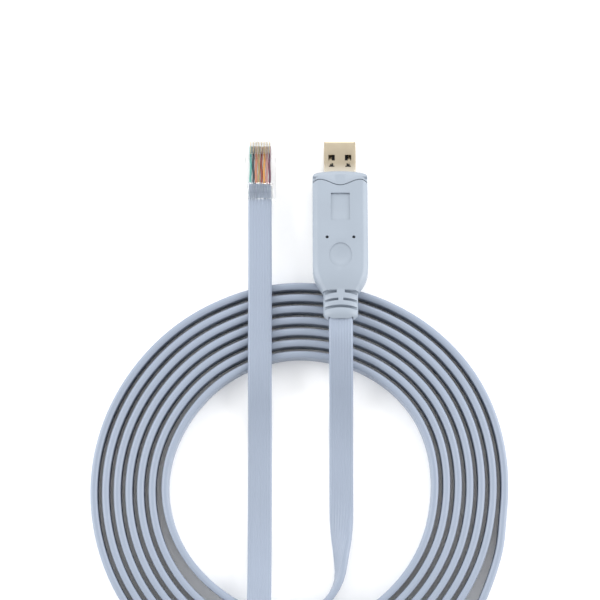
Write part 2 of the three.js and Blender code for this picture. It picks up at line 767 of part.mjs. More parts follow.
// A core, waving a little on its way from the jacket's end to under its blade.
function wireSolid(index) {
  const length = WIRE_Y1 - WIRE_Y0;
  const x = bladeX(index);
  const points = [];
  const stations = 6;
  for (let i = 0; i <= stations; i += 1) {
    const share = i / stations;
    const sway = WIRE_WAVE * Math.sin(Math.PI * share) * Math.sin(2 * Math.PI * share);
    points.push(new THREE.Vector3(x + sway, WIRE_Y0 + length * share, WIRE_LEVEL));
  }
  const section = new THREE.Shape();
  section.absarc(0, 0, WIRE_DIAMETER / 2, 0, 2 * Math.PI);
  return solid(
    new THREE.ExtrudeGeometry(section, {
      steps: 8,
      curveSegments: 8,
      bevelEnabled: false,
      extrudePath: new THREE.CatmullRomCurve3(points),
    }),
  );
}

// ---- Assembly ----

const usbPlug = new THREE.Group();
usbPlug.add(piece("usb_housing", hoodSolid(), hoodPvc));
usbPlug.add(piece("usb_shell", shellSolid(), goldPlate));
usbPlug.add(piece("usb_tongue", tongueSolid(), blackPbt));
for (let i = 0; i < 4; i += 1) usbPlug.add(piece(`usb_contact_${i + 1}`, contactSolid(i), goldPlate));
usbPlug.position.copy(usbPlace);
usbPlug.rotation.x = -USB_PITCH;

const rj45Plug = new THREE.Group();
rj45Plug.add(piece("rj45_body", plugSolid(), clearPolycarbonate));
for (let i = 0; i < BLADE_COUNT; i += 1) {
  rj45Plug.add(piece(`rj45_contact_${i + 1}`, bladeSolid(i), goldPlate));
  rj45Plug.add(piece(`rj45_wire_${i + 1}`, wireSolid(i), paint(CORE_COLOURS[i], 0.45)));
}
rj45Plug.position.copy(rj45Place);
rj45Plug.rotation.x = -RJ45_PITCH;

const plugs = new THREE.Group();
plugs.add(usbPlug, rj45Plug);

const cable = new THREE.Group();
cable.add(piece("cable_coil", coilRing(), jacketPvc));
cable.add(piece("cable_usb_end", cableStretch(usbEndPoints, 34), jacketPvc));
cable.add(piece("cable_rj45_end", cableStretch(rj45EndPoints, 56), jacketPvc));

const consoleCable = new THREE.Group();
consoleCable.add(plugs, cable);
consoleCable.updateMatrixWorld(true);

// The origin is on the ground under the middle of the two plugs.
const extent = new THREE.Box3().setFromObject(plugs, true);
consoleCable.position.set(
  -(extent.min.x + extent.max.x) / 2,
  -(extent.min.y + extent.max.y) / 2,
  -extent.min.z,
);

export default consoleCable;
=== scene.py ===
"""Looks of a serial console cable: a flat eight-core cable wound on edge into a round coil, a USB-A plug
in a moulded hood at one end and a clear modular plug at the other.

It is laid out as an add-on and run as a script. Pieces are shaped in millimetres in their plug's own
frame, Y along the plug, and then set down in the row frame, in metres."""

import math

import bmesh
import bpy
from bpy.props import (
    FloatProperty,
    FloatVectorProperty,
    IntProperty,
    PointerProperty,
)
from bpy.types import Operator, Panel, PropertyGroup
from mathutils import Matrix, Vector


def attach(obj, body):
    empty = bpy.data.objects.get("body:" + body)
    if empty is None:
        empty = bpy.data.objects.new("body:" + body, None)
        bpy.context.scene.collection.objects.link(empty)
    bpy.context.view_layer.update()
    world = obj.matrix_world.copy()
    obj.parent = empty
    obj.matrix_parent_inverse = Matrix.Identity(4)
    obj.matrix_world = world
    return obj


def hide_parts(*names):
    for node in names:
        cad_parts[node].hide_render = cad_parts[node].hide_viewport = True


bl_info = {
    "name": "Serial console cable",
    "version": (1, 0, 0),
    "blender": (4, 5, 0),
    "location": "3D View > Sidebar > Console cable",
    "description": "Flat cable coil with a USB plug and a clear modular plug",
    "category": "Object",
}

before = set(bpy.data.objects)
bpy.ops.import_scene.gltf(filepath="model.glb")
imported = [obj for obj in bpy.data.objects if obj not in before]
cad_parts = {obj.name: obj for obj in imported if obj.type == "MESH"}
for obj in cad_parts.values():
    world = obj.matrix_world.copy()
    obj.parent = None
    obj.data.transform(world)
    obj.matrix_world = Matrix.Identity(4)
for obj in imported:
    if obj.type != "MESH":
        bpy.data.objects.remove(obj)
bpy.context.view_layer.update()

MM = 0.001
# The coil's centre in the row frame, and the places of the two plugs from it, in millimetres.
COIL_CENTRE = Vector((-2.725, -96.52761, 0))
USB_PLACE, USB_PITCH = Vector((15.5, 119.4, 4.73189)), math.radians(11.76903)
PLUG_PLACE, PLUG_PITCH = Vector((-14.5, 108.4, 2.99831)), math.radians(4.90516)


def linear(hexes):
    """An sRGB hex colour, such as "b3becb", as linear red, green and blue."""
    parts = [int(hexes[i : i + 2], 16) / 255 for i in (0, 2, 4)]
    return [c / 12.92 if c <= 0.04045 else ((c + 0.055) / 1.055) ** 2.4 for c in parts]


def colour(name, about, hexes):
    return FloatVectorProperty(
        name=name, description=about, default=linear(hexes), subtype="COLOR", min=0, max=1
    )


def size(name, about, default, low=0.0001, high=2.0):
    """A length in metres, given in millimetres."""
    return FloatProperty(
        name=name, description=about, default=default * MM, min=low, max=high, unit="LENGTH", precision=5
    )


# ---- What a user would change ----


class CableSettings(PropertyGroup):
    width: size("Width", "Width of the flat cable", 8.8)
    thickness: size("Thickness", "Thickness of the flat cable", 2.6)
    edge: size("Edge radius", "Roundness of the cable's edges", 1.1)
    inner: size("Inner turn", "Radius of the innermost turn at its middle", 49.9)
    pitch: size("Turn pitch", "Distance from one turn to the next", 4.27)
    turns: IntProperty(name="Turns", description="Turns of the coil", default=7, min=2, max=20)
    jacket: colour("Jacket", "Colour of the cable's jacket", "8892a2")


class UsbSettings(PropertyGroup):
    width: size("Hood width", "Width of the moulded hood", 20.6)
    length: size("Hood length", "Length of the moulded hood without its strain relief", 48.2)
    thickness: size("Hood thickness", "Thickness of the moulded hood at its crown", 9.2)
    band: size("Edge band", "Width of the slanted band along the hood's edges", 1.75)
    relief: size("Strain relief", "Length of the slotted strain relief", 11)
    shell_length: size("Shell length", "Length of the metal shell outside the hood", 12.4)
    hood: colour("Hood", "Colour of the moulded hood", "8b949f")
    shell: colour("Shell", "Colour of the plated shell", "afa490")


class PlugSettings(PropertyGroup):
    width: size("Width", "Width of the modular plug", 11.7)
    length: size("Length", "Length of the modular plug", 23.1)
    height: size("Height", "Height of the modular plug without its latch", 6.6)
    core: size("Core", "Diameter of one insulated core", 0.88)
    pitch: size("Core pitch", "Distance from one core to the next", 1.02)
    clear: colour("Clear plastic", "Tint of the clear body", "eef0f1")


class StageSettings(PropertyGroup):
    elevation: FloatProperty(
        name="Camera elevation",
        description="Height of the camera above the horizon",
        default=math.radians(80),
        subtype="ANGLE",
    )
    distance: size("Camera distance", "From the camera to the middle of the view", 900)
    across: size("View width", "Width of the view at the middle of the object", 225)
    floor: colour("Floor", "Colour of the floor", "fdfdfd")


# ---- Modelling helpers ----


def only(piece):
    """Selects this piece alone and makes it the active one."""
    bpy.ops.object.select_all(action="DESELECT")
    piece.select_set(True)
    bpy.context.view_layer.objects.active = piece


def fresh(name):
    """The primitive just added, named, with its place and size in its mesh."""
    piece = bpy.context.object
    piece.name = piece.data.name = name
    only(piece)
    bpy.ops.object.transform_apply(location=True, rotation=True, scale=True)
    return piece


def block(name, low, high):
    """A box from corner to corner, as a start for a piece or a cutter."""
    middle = [(a + b) / 2 for a, b in zip(low, high)]
    bpy.ops.object.select_all(action="DESELECT")
    bpy.ops.mesh.primitive_cube_add(
        size=1, location=middle, scale=[b - a for a, b in zip(low, high)]
    )
    return fresh(name)


def rod(name, middle, radii, length, along, sides):
    """A round or oval bar along X, Y or Z; radii are its two half widths."""
    turn = {"X": (0, math.pi / 2, 0), "Y": (math.pi / 2, 0, 0), "Z": (0, 0, 0)}[along]
    bpy.ops.object.select_all(action="DESELECT")
    bpy.ops.mesh.primitive_cylinder_add(
        vertices=sides, radius=1, depth=length, location=middle, rotation=turn,
        scale=(radii[0], radii[1], 1),
    )
    return fresh(name)


def edit(piece):
    only(piece)
    bpy.ops.object.mode_set(mode="EDIT")


def done():
    bpy.ops.object.mode_set(mode="OBJECT")


def pick(piece, kind, test):
    """Selects in edit mode the points, edges or faces that pass the test, and says how many there are."""
    bpy.ops.mesh.select_mode(type=kind)
    bpy.ops.mesh.select_all(action="DESELECT")
    mesh = bmesh.from_edit_mesh(piece.data)
    parts = {"VERT": mesh.verts, "EDGE": mesh.edges, "FACE": mesh.faces}[kind]
    found = [part for part in parts if test(part)]
    for part in found:
        part.select_set(True)
    mesh.select_flush_mode()
    bmesh.update_edit_mesh(piece.data)
    return len(found)


def levels(piece, axis, test=lambda v: True):
    """The different places of the points along an axis, without sign."""
    mesh = bmesh.from_edit_mesh(piece.data)
    return sorted({round(abs(v.co[axis]), 2) for v in mesh.verts if test(v)})


def shift_along(piece, test, shift):
    """Moves the points that pass the test along Y, by what shift gives for their place across."""
    for x in levels(piece, 0, test):
        pick(piece, "VERT", lambda v: test(v) and abs(abs(v.co.x) - x) < 0.006)
        bpy.ops.transform.translate(value=(0, shift(x), 0))


def slice_at(axis, *places):
    """Cuts new edge loops through the whole piece at places along an axis."""
    normal = [0, 0, 0]
    normal[axis] = 1
    for place in places:
        bpy.ops.mesh.select_mode(type="FACE")
        bpy.ops.mesh.select_all(action="SELECT")
        point = [0, 0, 0]
        point[axis] = place
        bpy.ops.mesh.bisect(plane_co=point, plane_no=normal)


def bend_of(edge):
    return edge.calc_face_angle(0) if len(edge.link_faces) == 2 else 0


def combine(piece, other, how="DIFFERENCE"):
    """Cuts the other out of the piece, joins it on or keeps what both share."""
    solver = piece.modifiers.new("combine", "BOOLEAN")
    solver.operation = how
    solver.solver = "EXACT"
    solver.object = other
    only(piece)
    bpy.ops.object.modifier_apply(modifier=solver.name)
    bpy.data.objects.remove(other)


def soften(piece, width, segments, angle):
    """Rounds every edge that is sharper than the angle."""
    round_off = piece.modifiers.new("soften", "BEVEL")
    round_off.width = width
    round_off.segments = segments
    round_off.limit_method = "ANGLE"
    round_off.angle_limit = math.radians(angle)
    round_off.use_clamp_overlap = True
    only(piece)
    bpy.ops.object.modifier_apply(modifier=round_off.name)


def smooth(piece, angle=35):
    only(piece)
    bpy.ops.object.shade_smooth_by_angle(angle=math.radians(angle))


def in_plug(place, pitch):
    """From a plug's own frame in millimetres to the row frame in metres."""
    return Matrix.Scale(MM, 4) @ Matrix.Translation(COIL_CENTRE + place) @ Matrix.Rotation(-pitch, 4, "X")


def set_down(piece, matrix, *nodes, slot=None, material=None):
    """Puts a finished piece in its place, on the object's body and in the place of its nodes."""
    piece.data.transform(matrix)
    piece.data.update()
    if material is not None:
        piece.data.materials.clear()
        piece.data.materials.append(material)
    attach(piece, "root")
    if nodes:
        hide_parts(*nodes)


def sweep(name, points, section, along=None):
    """A closed tube: the section, given for each ring, on the line of points. Each ring is its middle, its
    across and its up direction. The map holds the place across and along, in metres."""
    vertices, faces, mapped = [], [], []
    count = len(section)
    travelled = 0
    for i, (middle, across, up) in enumerate(points):
        if i:
            travelled += (middle - points[i - 1][0]).length
        for x, y in section:
            vertices.append(middle + across * x + up * y)
            mapped.append((x * MM, travelled * MM))
    for i in range(len(points) - 1):
        for j in range(count):
            k = (j + 1) % count
            a, b = i * count, (i + 1) * count
            faces.append((a + j, a + k, b + k, b + j))
    faces.append(tuple(reversed(range(count))))
    faces.append(tuple((len(points) - 1) * count + j for j in range(count)))
    mesh = bpy.data.meshes.new(name)
    mesh.from_pydata(vertices, [], faces)
    layer = mesh.uv_layers.new(name="Lay")
    for loop in mesh.loops:
        layer.data[loop.index].uv = mapped[loop.vertex_index]
    piece = bpy.data.objects.new(name, mesh)
    bpy.context.scene.collection.objects.link(piece)
    return piece


# ---- Materials ----


def add_node(tree, kind, values=(), **settings):
    """Adds a node with its settings. values pairs a socket's name or number with a value or with the
    output socket that feeds it."""
    node = tree.nodes.new(kind)
    for name, value in settings.items():
        setattr(node, name, value)
    for socket, value in values:
        if isinstance(value, bpy.types.NodeSocket):
            tree.links.new(value, node.inputs[socket])
        else:
            node.inputs[socket].default_value = value
    return node


def start_material(name, **shader):
    """A material with one Principled shader and what is the same all over it."""
    made = bpy.data.materials.new(name)
    made.use_nodes = True
    tree = made.node_tree
    tree.nodes.clear()
    values = [(key.replace("_", " "), value) for key, value in shader.items()]
    principled = add_node(tree, "ShaderNodeBsdfPrincipled", values)
    add_node(tree, "ShaderNodeOutputMaterial", [("Surface", principled.outputs[0])])
    return made, tree, principled


def shades(tree, factor, colour_value, darker, lighter):
    """The colour made a little darker and a little lighter by a pattern."""
    dark = [c * darker for c in colour_value] + [1]
    light = [min(c * lighter, 1) for c in colour_value] + [1]
    return add_node(
        tree, "ShaderNodeMix", [(0, factor), (6, dark), (7, light)], data_type="RGBA"
    ).outputs[2]


def extruded_pvc(settings):
    """Satin PVC pressed through a die: fine lines run along the cable, with the eight cores as barely
    raised ribs under the surface."""
    made, tree, shader = start_material(
        "Extruded satin PVC jacket", IOR=1.53, Specular_IOR_Level=0.4
    )
    lay = add_node(tree, "ShaderNodeUVMap", uv_map="Lay").outputs[0]
    # Ribs: one every 1.05 mm, the pitch of the eight cores.
    ribs = add_node(
        tree, "ShaderNodeTexWave", [("Vector", lay), ("Scale", 0.3142 / (1.05 * MM))],
        wave_type="BANDS", bands_direction="X",
    ).outputs["Fac"]
    # Die lines about 0.35 mm wide and many centimetres long, drawn wider than real ones so that they show.
    drawn = add_node(
        tree, "ShaderNodeMapping", [("Vector", lay), ("Scale", (1 / (0.35 * MM), 1 / (45 * MM), 1))]
    ).outputs[0]
    lines = add_node(
        tree, "ShaderNodeTexNoise", [("Vector", drawn), ("Scale", 1.0), ("Detail", 2.0)]
    ).outputs["Fac"]
    spot = add_node(tree, "ShaderNodeTexCoord").outputs["Object"]
    # Cloudy change of shade over some 20 mm, and a grain of 0.12 mm.
    cloud = add_node(
        tree, "ShaderNodeTexNoise", [("Vector", spot), ("Scale", 1 / (20 * MM)), ("Detail", 1.0)]
    ).outputs["Fac"]
    grain = add_node(
        tree, "ShaderNodeTexNoise", [("Vector", spot), ("Scale", 1 / (0.12 * MM)), ("Detail", 2.0)]
    ).outputs["Fac"]
    mixed = add_node(
        tree, "ShaderNodeMath", [(0, lines), (1, cloud)], operation="ADD"
    ).outputs[0]
    shade = add_node(tree, "ShaderNodeMath", [(0, mixed), (1, 0.5)], operation="MULTIPLY").outputs[0]
    tree.links.new(shades(tree, shade, settings.jacket, 0.93, 1.07), shader.inputs["Base Color"])
    dull = add_node(
        tree, "ShaderNodeMapRange", [("Value", lines), ("To Min", 0.36), ("To Max", 0.5)]
    ).outputs[0]
    tree.links.new(dull, shader.inputs["Roughness"])
    ribbed = add_node(
        tree, "ShaderNodeBump", [("Strength", 1.0), ("Distance", 0.11 * MM), ("Height", ribs)]
    ).outputs[0]
    lined = add_node(
        tree, "ShaderNodeBump",
        [("Strength", 0.7), ("Distance", 0.04 * MM), ("Height", lines), ("Normal", ribbed)],
    ).outputs[0]
    grained = add_node(
        tree, "ShaderNodeBump",
        [("Strength", 0.15), ("Distance", 0.008 * MM), ("Height", grain), ("Normal", lined)],
    ).outputs[0]
    tree.links.new(grained, shader.inputs["Normal"])
    return made


def moulded_pvc(settings):
    """Soft PVC injected into a spark-eroded mould: an even fine grain that breaks the shine, and slow
    changes of shade where the melt flowed."""
    made, tree, shader = start_material(
        "Injection moulded satin PVC hood", IOR=1.53, Specular_IOR_Level=0.4
    )
    spot = add_node(tree, "ShaderNodeTexCoord").outputs["Object"]
    flow = add_node(
        tree, "ShaderNodeTexNoise", [("Vector", spot), ("Scale", 1 / (12 * MM)), ("Detail", 1.0)]
    ).outputs["Fac"]
    # Eroded grain of 0.25 mm, about twice the real one so that it shows.
    grain = add_node(
        tree, "ShaderNodeTexNoise", [("Vector", spot), ("Scale", 1 / (0.25 * MM)), ("Detail", 2.0)]
    ).outputs["Fac"]
    tree.links.new(shades(tree, flow, settings.hood, 0.95, 1.05), shader.inputs["Base Color"])
    dull = add_node(
        tree, "ShaderNodeMapRange", [("Value", grain), ("To Min", 0.38), ("To Max", 0.52)]
    ).outputs[0]
    tree.links.new(dull, shader.inputs["Roughness"])
    bump = add_node(
        tree, "ShaderNodeBump", [("Strength", 0.25), ("Distance", 0.012 * MM), ("Height", grain)]
    ).outputs[0]
    tree.links.new(bump, shader.inputs["Normal"])
    return made


def lamp_well():
    """Smoked epoxy of an unlit lamp at the bottom of its hole: nearly black, with a dull shine."""
    made, tree, shader = start_material(
        "Smoked epoxy lamp well", Base_Color=[*linear("101316"), 1], IOR=1.5
    )
    spot = add_node(tree, "ShaderNodeTexCoord").outputs["Object"]
    haze = add_node(
        tree, "ShaderNodeTexNoise", [("Vector", spot), ("Scale", 1 / (0.4 * MM))]
    ).outputs["Fac"]
    dull = add_node(
        tree, "ShaderNodeMapRange", [("Value", haze), ("To Min", 0.35), ("To Max", 0.6)]
    ).outputs[0]
    tree.links.new(dull, shader.inputs["Roughness"])
    return made


def plated_steel(settings):
    """Steel strip, rolled, folded and plated pale gold: the roll's fine lines run along the plug, and the
    plating is a little cloudy. Its colour also holds a painted reflection, paler near the hood and browner
    towards the tip."""
    made, tree, shader = start_material("Gold plated rolled steel", Metallic=1.0)
    spot = add_node(tree, "ShaderNodeTexCoord").outputs["Object"]
    # Roll lines 0.12 mm wide and 6 mm long, turned along the plug.
    drawn = add_node(
        tree, "ShaderNodeMapping",
        [("Vector", spot), ("Rotation", (USB_PITCH, 0, 0)),
         ("Scale", (1 / (0.12 * MM), 1 / (6 * MM), 1 / (0.12 * MM)))],
    ).outputs[0]
    lines = add_node(
        tree, "ShaderNodeTexNoise", [("Vector", drawn), ("Scale", 1.0), ("Detail", 2.0)]
    ).outputs["Fac"]
    cloud = add_node(
        tree, "ShaderNodeTexNoise", [("Vector", spot), ("Scale", 1 / (4 * MM)), ("Detail", 2.0)]
    ).outputs["Fac"]
    cloudy = shades(tree, cloud, settings.shell, 0.9, 1.06)
    # Painted reflection: the plating is made browner towards the tip and pale near the hood, a gradient of
    # reflected light painted into its colour.
    place = add_node(tree, "ShaderNodeSeparateXYZ", [(0, spot)]).outputs[1]
    painted_reflection_share = add_node(
        tree, "ShaderNodeMapRange",
        [("Value", place), ("From Min", 23 * MM), ("From Max", 27 * MM), ("To Min", 1), ("To Max", 0)],
        interpolation_type="SMOOTHSTEP",
    ).outputs[0]
    # The pale colour near the hood stands in for reflected light, painted into the base colour.
    with_painted_reflection = add_node(
        tree, "ShaderNodeMix", [(0, painted_reflection_share), (6, cloudy), (7, [*linear("c8c1b3"), 1])], data_type="RGBA"
    ).outputs[2]
    tree.links.new(with_painted_reflection, shader.inputs["Base Color"])
    dull = add_node(
        tree, "ShaderNodeMapRange", [("Value", lines), ("To Min", 0.24), ("To Max", 0.42)]
    ).outputs[0]
    tree.links.new(dull, shader.inputs["Roughness"])
    bump = add_node(
        tree, "ShaderNodeBump", [("Strength", 0.3), ("Distance", 0.006 * MM), ("Height", lines)]
    ).outputs[0]
    tree.links.new(bump, shader.inputs["Normal"])
    return made


def contact_gold():
    """Stamped bronze flashed with gold: warm and smooth, with faint stamping lines."""
    made, tree, shader = start_material("Gold flashed stamped bronze", Metallic=1.0)
    spot = add_node(tree, "ShaderNodeTexCoord").outputs["Object"]
    lines = add_node(
        tree, "ShaderNodeTexNoise", [("Vector", spot), ("Scale", 1 / (0.3 * MM)), ("Detail", 1.0)]
    ).outputs["Fac"]
    tree.links.new(shades(tree, lines, linear("d8cbb0"), 0.85, 1.1), shader.inputs["Base Color"])
    dull = add_node(
        tree, "ShaderNodeMapRange", [("Value", lines), ("To Min", 0.2), ("To Max", 0.35)]
    ).outputs[0]
    tree.links.new(dull, shader.inputs["Roughness"])
    return made


def black_insulator():
    """Glass-filled PBT, moulded: near black and matt, with the fibres as a faint mottle."""
    made, tree, shader = start_material("Moulded black PBT", IOR=1.57)
    spot = add_node(tree, "ShaderNodeTexCoord").outputs["Object"]
    mottle = add_node(
        tree, "ShaderNodeTexNoise", [("Vector", spot), ("Scale", 1 / (0.3 * MM)), ("Detail", 2.0)]
    ).outputs["Fac"]
    tree.links.new(shades(tree, mottle, linear("1d1e20"), 0.75, 1.3), shader.inputs["Base Color"])
    dull = add_node(
        tree, "ShaderNodeMapRange", [("Value", mottle), ("To Min", 0.42), ("To Max", 0.6)]
    ).outputs[0]
    tree.links.new(dull, shader.inputs["Roughness"])
    return made


def clear_polycarbonate(settings):
    """Polycarbonate from a polished mould: clear and glossy, with the faintest ripple of flow that bends
    what lies behind it."""
    made, tree, shader = start_material(
        "Moulded clear polycarbonate",
        Base_Color=[*settings.clear, 1],
        IOR=1.5,
        Transmission_Weight=1.0,
        Alpha=0.55,
    )
    spot = add_node(tree, "ShaderNodeTexCoord").outputs["Object"]
    ripple = add_node(
        tree, "ShaderNodeTexNoise", [("Vector", spot), ("Scale", 1 / (2.5 * MM)), ("Detail", 1.0)]
    ).outputs["Fac"]
    dull = add_node(
        tree, "ShaderNodeMapRange", [("Value", ripple), ("To Min", 0.01), ("To Max", 0.05)]
    ).outputs[0]
    tree.links.new(dull, shader.inputs["Roughness"])
    bump = add_node(
        tree, "ShaderNodeBump", [("Strength", 0.1), ("Distance", 0.02 * MM), ("Height", ripple)]
    ).outputs[0]
    tree.links.new(bump, shader.inputs["Normal"])
    return made


def core_insulation(name, hexes):
    """Extruded polypropylene insulation of one core: glossy, dyed through, a little uneven along it."""
    made, tree, shader = start_material(f"Extruded polypropylene, {name}", IOR=1.49)
    lay = add_node(tree, "ShaderNodeUVMap", uv_map="Lay").outputs[0]
    drawn = add_node(
        tree, "ShaderNodeMapping", [("Vector", lay), ("Scale", (1 / (0.2 * MM), 1 / (3 * MM), 1))]
    ).outputs[0]
    streak = add_node(
        tree, "ShaderNodeTexNoise", [("Vector", drawn), ("Scale", 1.0), ("Detail", 1.0)]
    ).outputs["Fac"]
    tree.links.new(shades(tree, streak, linear(hexes), 0.8, 1.2), shader.inputs["Base Color"])
    dull = add_node(
        tree, "ShaderNodeMapRange", [("Value", streak), ("To Min", 0.22), ("To Max", 0.34)]
    ).outputs[0]
    tree.links.new(dull, shader.inputs["Roughness"])
    return made


def matt_floor(settings):
    """Matt white board, the floor of the studio, with the faint mottle of paper."""
    made, tree, shader = start_material("Matt white board", Specular_IOR_Level=0.1)
    spot = add_node(tree, "ShaderNodeTexCoord").outputs["Object"]
    mottle = add_node(
        tree, "ShaderNodeTexNoise", [("Vector", spot), ("Scale", 1 / (3 * MM)), ("Detail", 2.0)]
    ).outputs["Fac"]
    tree.links.new(shades(tree, mottle, settings.floor, 0.99, 1.01), shader.inputs["Base Color"])
    dull = add_node(
        tree, "ShaderNodeMapRange", [("Value", mottle), ("To Min", 0.85), ("To Max", 0.95)]
    ).outputs[0]
    tree.links.new(dull, shader.inputs["Roughness"])
    return made


# ---- The cable's line ----

FLAT, EDGE, OVER = 1.4, 4.5, 10.4  # levels of its middle: flat, on edge, and flat over the coil


def resting(roll):
    """Level of the cable's middle when it lies on the ground with a roll in degrees."""
    turned = math.radians(roll)
    return 4.4 * math.sin(turned) + 1.3 * math.cos(turned) + 0.1


def plug_point(place, pitch, y, z):
    turned = Matrix.Rotation(-pitch, 3, "X") @ Vector((0, y, z))
    return (place + turned)[:]


# Each point is X, Y, Z and the roll of the flat section in degrees: 0 lying flat, 90 on edge.
USB_END = [
    (*plug_point(USB_PLACE, USB_PITCH, -57.8, 0), 0),
    (*plug_point(USB_PLACE, USB_PITCH, -65.2, 0), 0),
    (15.55, 50, 16.4, 0),
    (15.65, 42, 12.8, 0),
    (15.75, 34, 8, 0),
    (15.75, 26, 4.2, 0),
    (15.75, 18, 2, 0),
    (15.75, 9, FLAT, 0),
    (15.75, 0, FLAT, 0),
    (15.75, -8, resting(10), 10),
    (15.75, -16, resting(34), 34),
    (15.6, -24, resting(62), 62),
    (14.7, -33, resting(82), 82),
    (10.6, -40.3, EDGE, 90),
    (3.7, -45.4, EDGE, 90),
    (-5.1, -46.65, EDGE, 90),
    (-14.1, -45, EDGE, 90),
    (-22.25, -41.55, EDGE, 90),
]
# The roll goes on from 90 on edge to 180, flat again with the other face up.
PLUG_END = [
    (64.25, -45.25, EDGE, 90),
    (55.7, -55.5, EDGE, 90),
    (45.2, -64.3, 4.9, 94),
    (34.4, -71.3, 6.4, 104),
    (23.9, -75.5, 8.75, 120),
    (13.5, -76.9, 11, 142),
    (3.6, -74.6, 11.7, 162),
    (-5.4, -68.6, 11, 174),
    (-10.9, -59.5, OVER + 0.1, 180),
    (-13.8, -50.5, OVER, 180),
    (-14.3, -42.5, OVER - 0.1, 180),
    (-14.3, -34.5, 8, 180),
    (-14.3, -26.5, 4.9, 180),
    (-14.3, -18.5, 2.5, 180),
    (-14.3, -10, FLAT, 180),
    (-14.3, 0, FLAT, 180),
    (-14.3, 10, FLAT, 180),
    (-14.3, 19, 2.2, 180),
    (-14.3, 28, 4.6, 180),
    (-14.3, 37, 8.2, 180),
    (-14.3, 46, OVER, 180),
    (-14.3, 56, OVER + 0.2, 180),
    (-14.3, 67, OVER, 180),
    (-14.35, 79, OVER - 0.1, 180),
    (-14.4, 90, 8.8, 180),
    (*plug_point(PLUG_PLACE, PLUG_PITCH, -7, 3.4), 180),
    (*plug_point(PLUG_PLACE, PLUG_PITCH, 0, 3.4), 180),
    (*plug_point(PLUG_PLACE, PLUG_PITCH, 6.3, 3.4), 180),
]

# How far the turns bulge, in millimetres, at angles in degrees from the right-hand side.
BULGE = [
    (-180, -0.45), (-90, 0.3), (-10, -0.1), (35, 1.5), (90, 0.2), (120, -0.55), (142, -0.8), (180, -0.45)
]


COIL_START, COIL_STOP = 98, 8  # degrees into the first turn and short of the last where the ends leave
STEP_SECTOR = 120  # degrees in which a turn steps out
FIRST_RADIUS, LATE_EASE, SWING_OUT = 47, 0.35, 3.1  # millimetres, for the turns that the ends leave


def ease(share):
    share = min(max(share, 0), 1)
    return share * share * (3 - 2 * share)


def between(table, place):
    """A value from a table of places and values, eased from one to the next."""
    for (a, low), (b, high) in zip(table, table[1:]):
        if a <= place <= b:
            return low + (high - low) * ease((place - a) / (b - a))
    raise ValueError(f"{place} is outside the table")


def coil_points(settings):
    """Points every 10 degrees, clockwise from the innermost turn to the outermost. Each turn steps out by
    one pitch in the sector from -30 to -150 degrees. The innermost turn eases out from the USB end in two
    stages, and the outermost swings out at its end."""
    inner, pitch = settings.inner / MM, settings.pitch / MM
    points = []
    last = 360 * settings.turns - COIL_STOP
    travelled = COIL_START
    while travelled <= last:
        turn, here = divmod(travelled, 360)
        radius = inner + pitch * turn
        if turn == 0:
            eased = inner - LATE_EASE - FIRST_RADIUS
            radius = FIRST_RADIUS + eased * ease((here - 88) / 70) + LATE_EASE * ease((here - 170) / 60)
        elif here < STEP_SECTOR:
            radius -= pitch * (1 - ease(here / STEP_SECTOR))
        if travelled > last - 17:
            radius += SWING_OUT * ease((travelled - last + 17) / 30)
        angle = (-30 - here + 180) % 360 - 180
        radius += between(BULGE, angle)
        turned = math.radians(angle)
        points.append((radius * math.cos(turned), radius * math.sin(turned), EDGE - 0.08, 90))
        travelled += 10
    return points


def cable_rings(keys, step):
    """The rings of the cable on a centripetal curve through the key points: middle, across and up."""
    points = [Vector(k) for k in keys]
    points = [2 * points[0] - points[1], *points, 2 * points[-1] - points[-2]]
    line = []
    for p0, p1, p2, p3 in zip(points, points[1:], points[2:], points[3:]):
        spans = [math.sqrt((b - a).to_3d().length) for a, b in ((p0, p1), (p1, p2), (p2, p3))]
        d0, d1, d2 = spans
        leave = ((p1 - p0) / d0 - (p2 - p0) / (d0 + d1) + (p2 - p1) / d1) * d1
        reach = ((p2 - p1) / d1 - (p3 - p1) / (d1 + d2) + (p3 - p2) / d2) * d1
        count = max(1, round((p2 - p1).to_3d().length / step))
        for i in range(count):
            t = i / count
            line.append(
                p1
                + leave * t
                + (3 * (p2 - p1) - 2 * leave - reach) * t**2
                + (2 * (p1 - p2) + leave + reach) * t**3
            )
    line.append(points[-2])
    rings = []
    for i, point in enumerate(line):
        ahead, behind = line[min(i + 1, len(line) - 1)], line[max(i - 1, 0)]
        along = (ahead - behind).to_3d().normalized()
        level = along.cross(Vector((0, 0, 1))).normalized()
        across = Matrix.Rotation(math.radians(point[3]), 3, along) @ level
        rings.append((point.to_3d() + COIL_CENTRE, across, along.cross(across)))
    return rings


def cable_section(settings):
    """Half round edges and two flat faces, as points around the cable."""
    x, y, r = settings.width / MM / 2, settings.thickness / MM / 2, settings.edge / MM
    points = []
    for start, cx, cy in ((0, x - r, y - r), (90, r - x, y - r), (180, r - x, r - y), (270, x - r, r - y)):
        for i in range(6):
            turned = math.radians(start + 18 * i)
            points.append((cx + r * math.cos(turned), cy + r * math.sin(turned)))
        if start in (0, 180):
            side = 1 if start == 0 else -1
            points += [(side * place * (x - r), side * y) for place in (0.5, 0, -0.5)]
    return points


# ---- Pieces ----


END_SLANT = 0.12  # rise for each millimetre across
RING_STEP = 2.6  # millimetres between the rings of the cable


